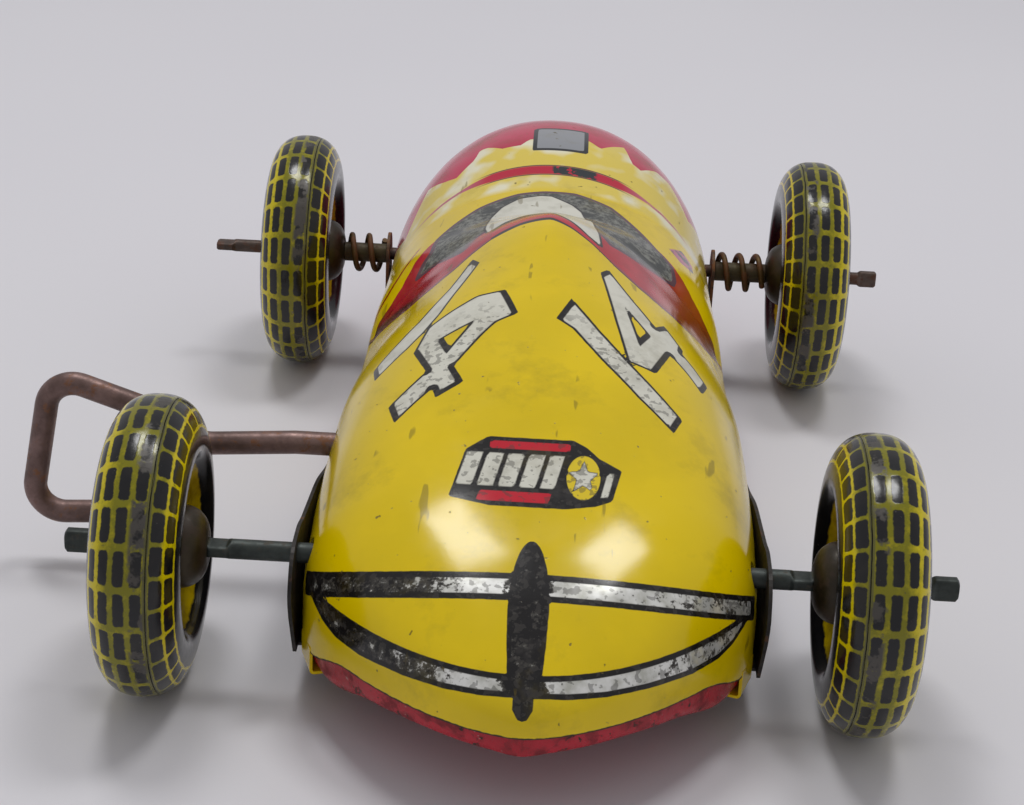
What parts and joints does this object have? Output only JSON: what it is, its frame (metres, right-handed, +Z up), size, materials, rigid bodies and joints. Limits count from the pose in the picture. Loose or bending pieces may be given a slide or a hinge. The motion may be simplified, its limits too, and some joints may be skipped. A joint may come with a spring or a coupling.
{
  "type": "wind-up toy racing car",
  "caption": "Pressed tin clockwork racing car with rounded nose and tail, hollow tin wheels on wire axles, a gear train inside the body and a bent wire winding key.",
  "frame": {"origin": "centre of the bounding box in plan, on the plane the four tyres stand on", "axes": "+Z up, nose towards -Y, key side towards -X"},
  "size_m": [0.1587, 0.2176, 0.054],
  "materials": {
    "lithographed_tin": "gloss",
    "red_tin": "satin, worn",
    "dark_steel": "oxidised",
    "bracket_steel": "rusty",
    "rivet_steel": "satin",
    "plate_steel": "satin",
    "pillar_brass": "tarnished",
    "spring_steel": "blued",
    "arbor_steel": "satin",
    "gear_brass": "tarnished",
    "key_wire": "rusty",
    "axle_wire": "oxidised",
    "coil_wire": "rusty",
    "tyre_tin": "gloss, worn print",
    "hub_metal": "satin, worn"
  },
  "bodies": {
    "body": {"body_shell": "lithographed_tin", "base_pan": "red_tin", "front_bracket": "dark_steel", "rear_bracket": "bracket_steel", "bracket_rivets": "rivet_steel", "motor_plate_left": "plate_steel", "motor_plate_right": "plate_steel", "motor_pillars": "pillar_brass", "motor_rivets": "rivet_steel", "mainspring": "spring_steel", "spring_post": "pillar_brass"},
    "front_axle_set": {"front_axle": "axle_wire", "axle_pinion": "gear_brass", "front_left_tyre_outer": "tyre_tin", "front_left_tyre_inner": "tyre_tin", "front_left_hub": "hub_metal", "front_right_tyre_outer": "tyre_tin", "front_right_tyre_inner": "tyre_tin", "front_right_hub": "hub_metal"},
    "second_gear": {"second_arbor": "arbor_steel", "second_pinion": "gear_brass", "second_wheel": "gear_brass"},
    "great_gear": {"great_wheel": "gear_brass", "click_finger": "spring_steel", "click_rivet": "rivet_steel"},
    "winder": {"winding_arbor": "arbor_steel", "key_pin": "rivet_steel", "ratchet_wheel": "gear_brass", "winding_key": "key_wire"},
    "rear_axle_set": {"rear_axle": "axle_wire", "rear_spring_left": "coil_wire", "rear_spring_right": "coil_wire", "rear_sleeve_left": "axle_wire", "rear_sleeve_right": "axle_wire"},
    "rear_wheel_left": {"rear_left_tyre_outer": "tyre_tin", "rear_left_tyre_inner": "tyre_tin", "rear_left_hub": "hub_metal"},
    "rear_wheel_right": {"rear_right_tyre_outer": "tyre_tin", "rear_right_tyre_inner": "tyre_tin", "rear_right_hub": "hub_metal"}
  },
  "joints": [
    {"name": "front_axle_spin", "type": "hinge", "parent": "body", "child": "front_axle_set", "pos_m": [0.01047, -0.07215, 0.024], "axis": [1, 0, 0], "continuous": true},
    {"name": "second_spin", "type": "hinge", "parent": "body", "child": "second_gear", "pos_m": [0.01047, -0.0559, 0.02688], "axis": [1, 0, 0], "continuous": true},
    {"name": "great_wheel_spin", "type": "hinge", "parent": "body", "child": "great_gear", "pos_m": [0.01047, -0.03594, 0.0255], "axis": [1, 0, 0], "continuous": true},
    {"name": "key_wind", "type": "hinge", "parent": "great_gear", "child": "winder", "pos_m": [0.01047, -0.03594, 0.0255], "axis": [1, 0, 0], "range_deg": [0, 1440]},
    {"name": "rear_axle_spin", "type": "hinge", "parent": "body", "child": "rear_axle_set", "pos_m": [0.01047, 0.05985, 0.024], "axis": [1, 0, 0], "continuous": true},
    {"name": "rear_wheel_left_spin", "type": "hinge", "parent": "rear_axle_set", "child": "rear_wheel_left", "pos_m": [-0.04204, 0.05985, 0.024], "axis": [1, 0, 0], "continuous": true},
    {"name": "rear_wheel_right_spin", "type": "hinge", "parent": "rear_axle_set", "child": "rear_wheel_right", "pos_m": [0.06477, 0.05985, 0.024], "axis": [1, 0, 0], "continuous": true}
  ],
  "couplings": [
    {"joint": "second_spin", "follows": "front_axle_spin", "ratio": -0.46667},
    {"joint": "great_wheel_spin", "follows": "front_axle_spin", "ratio": 0.11667}
  ]
}
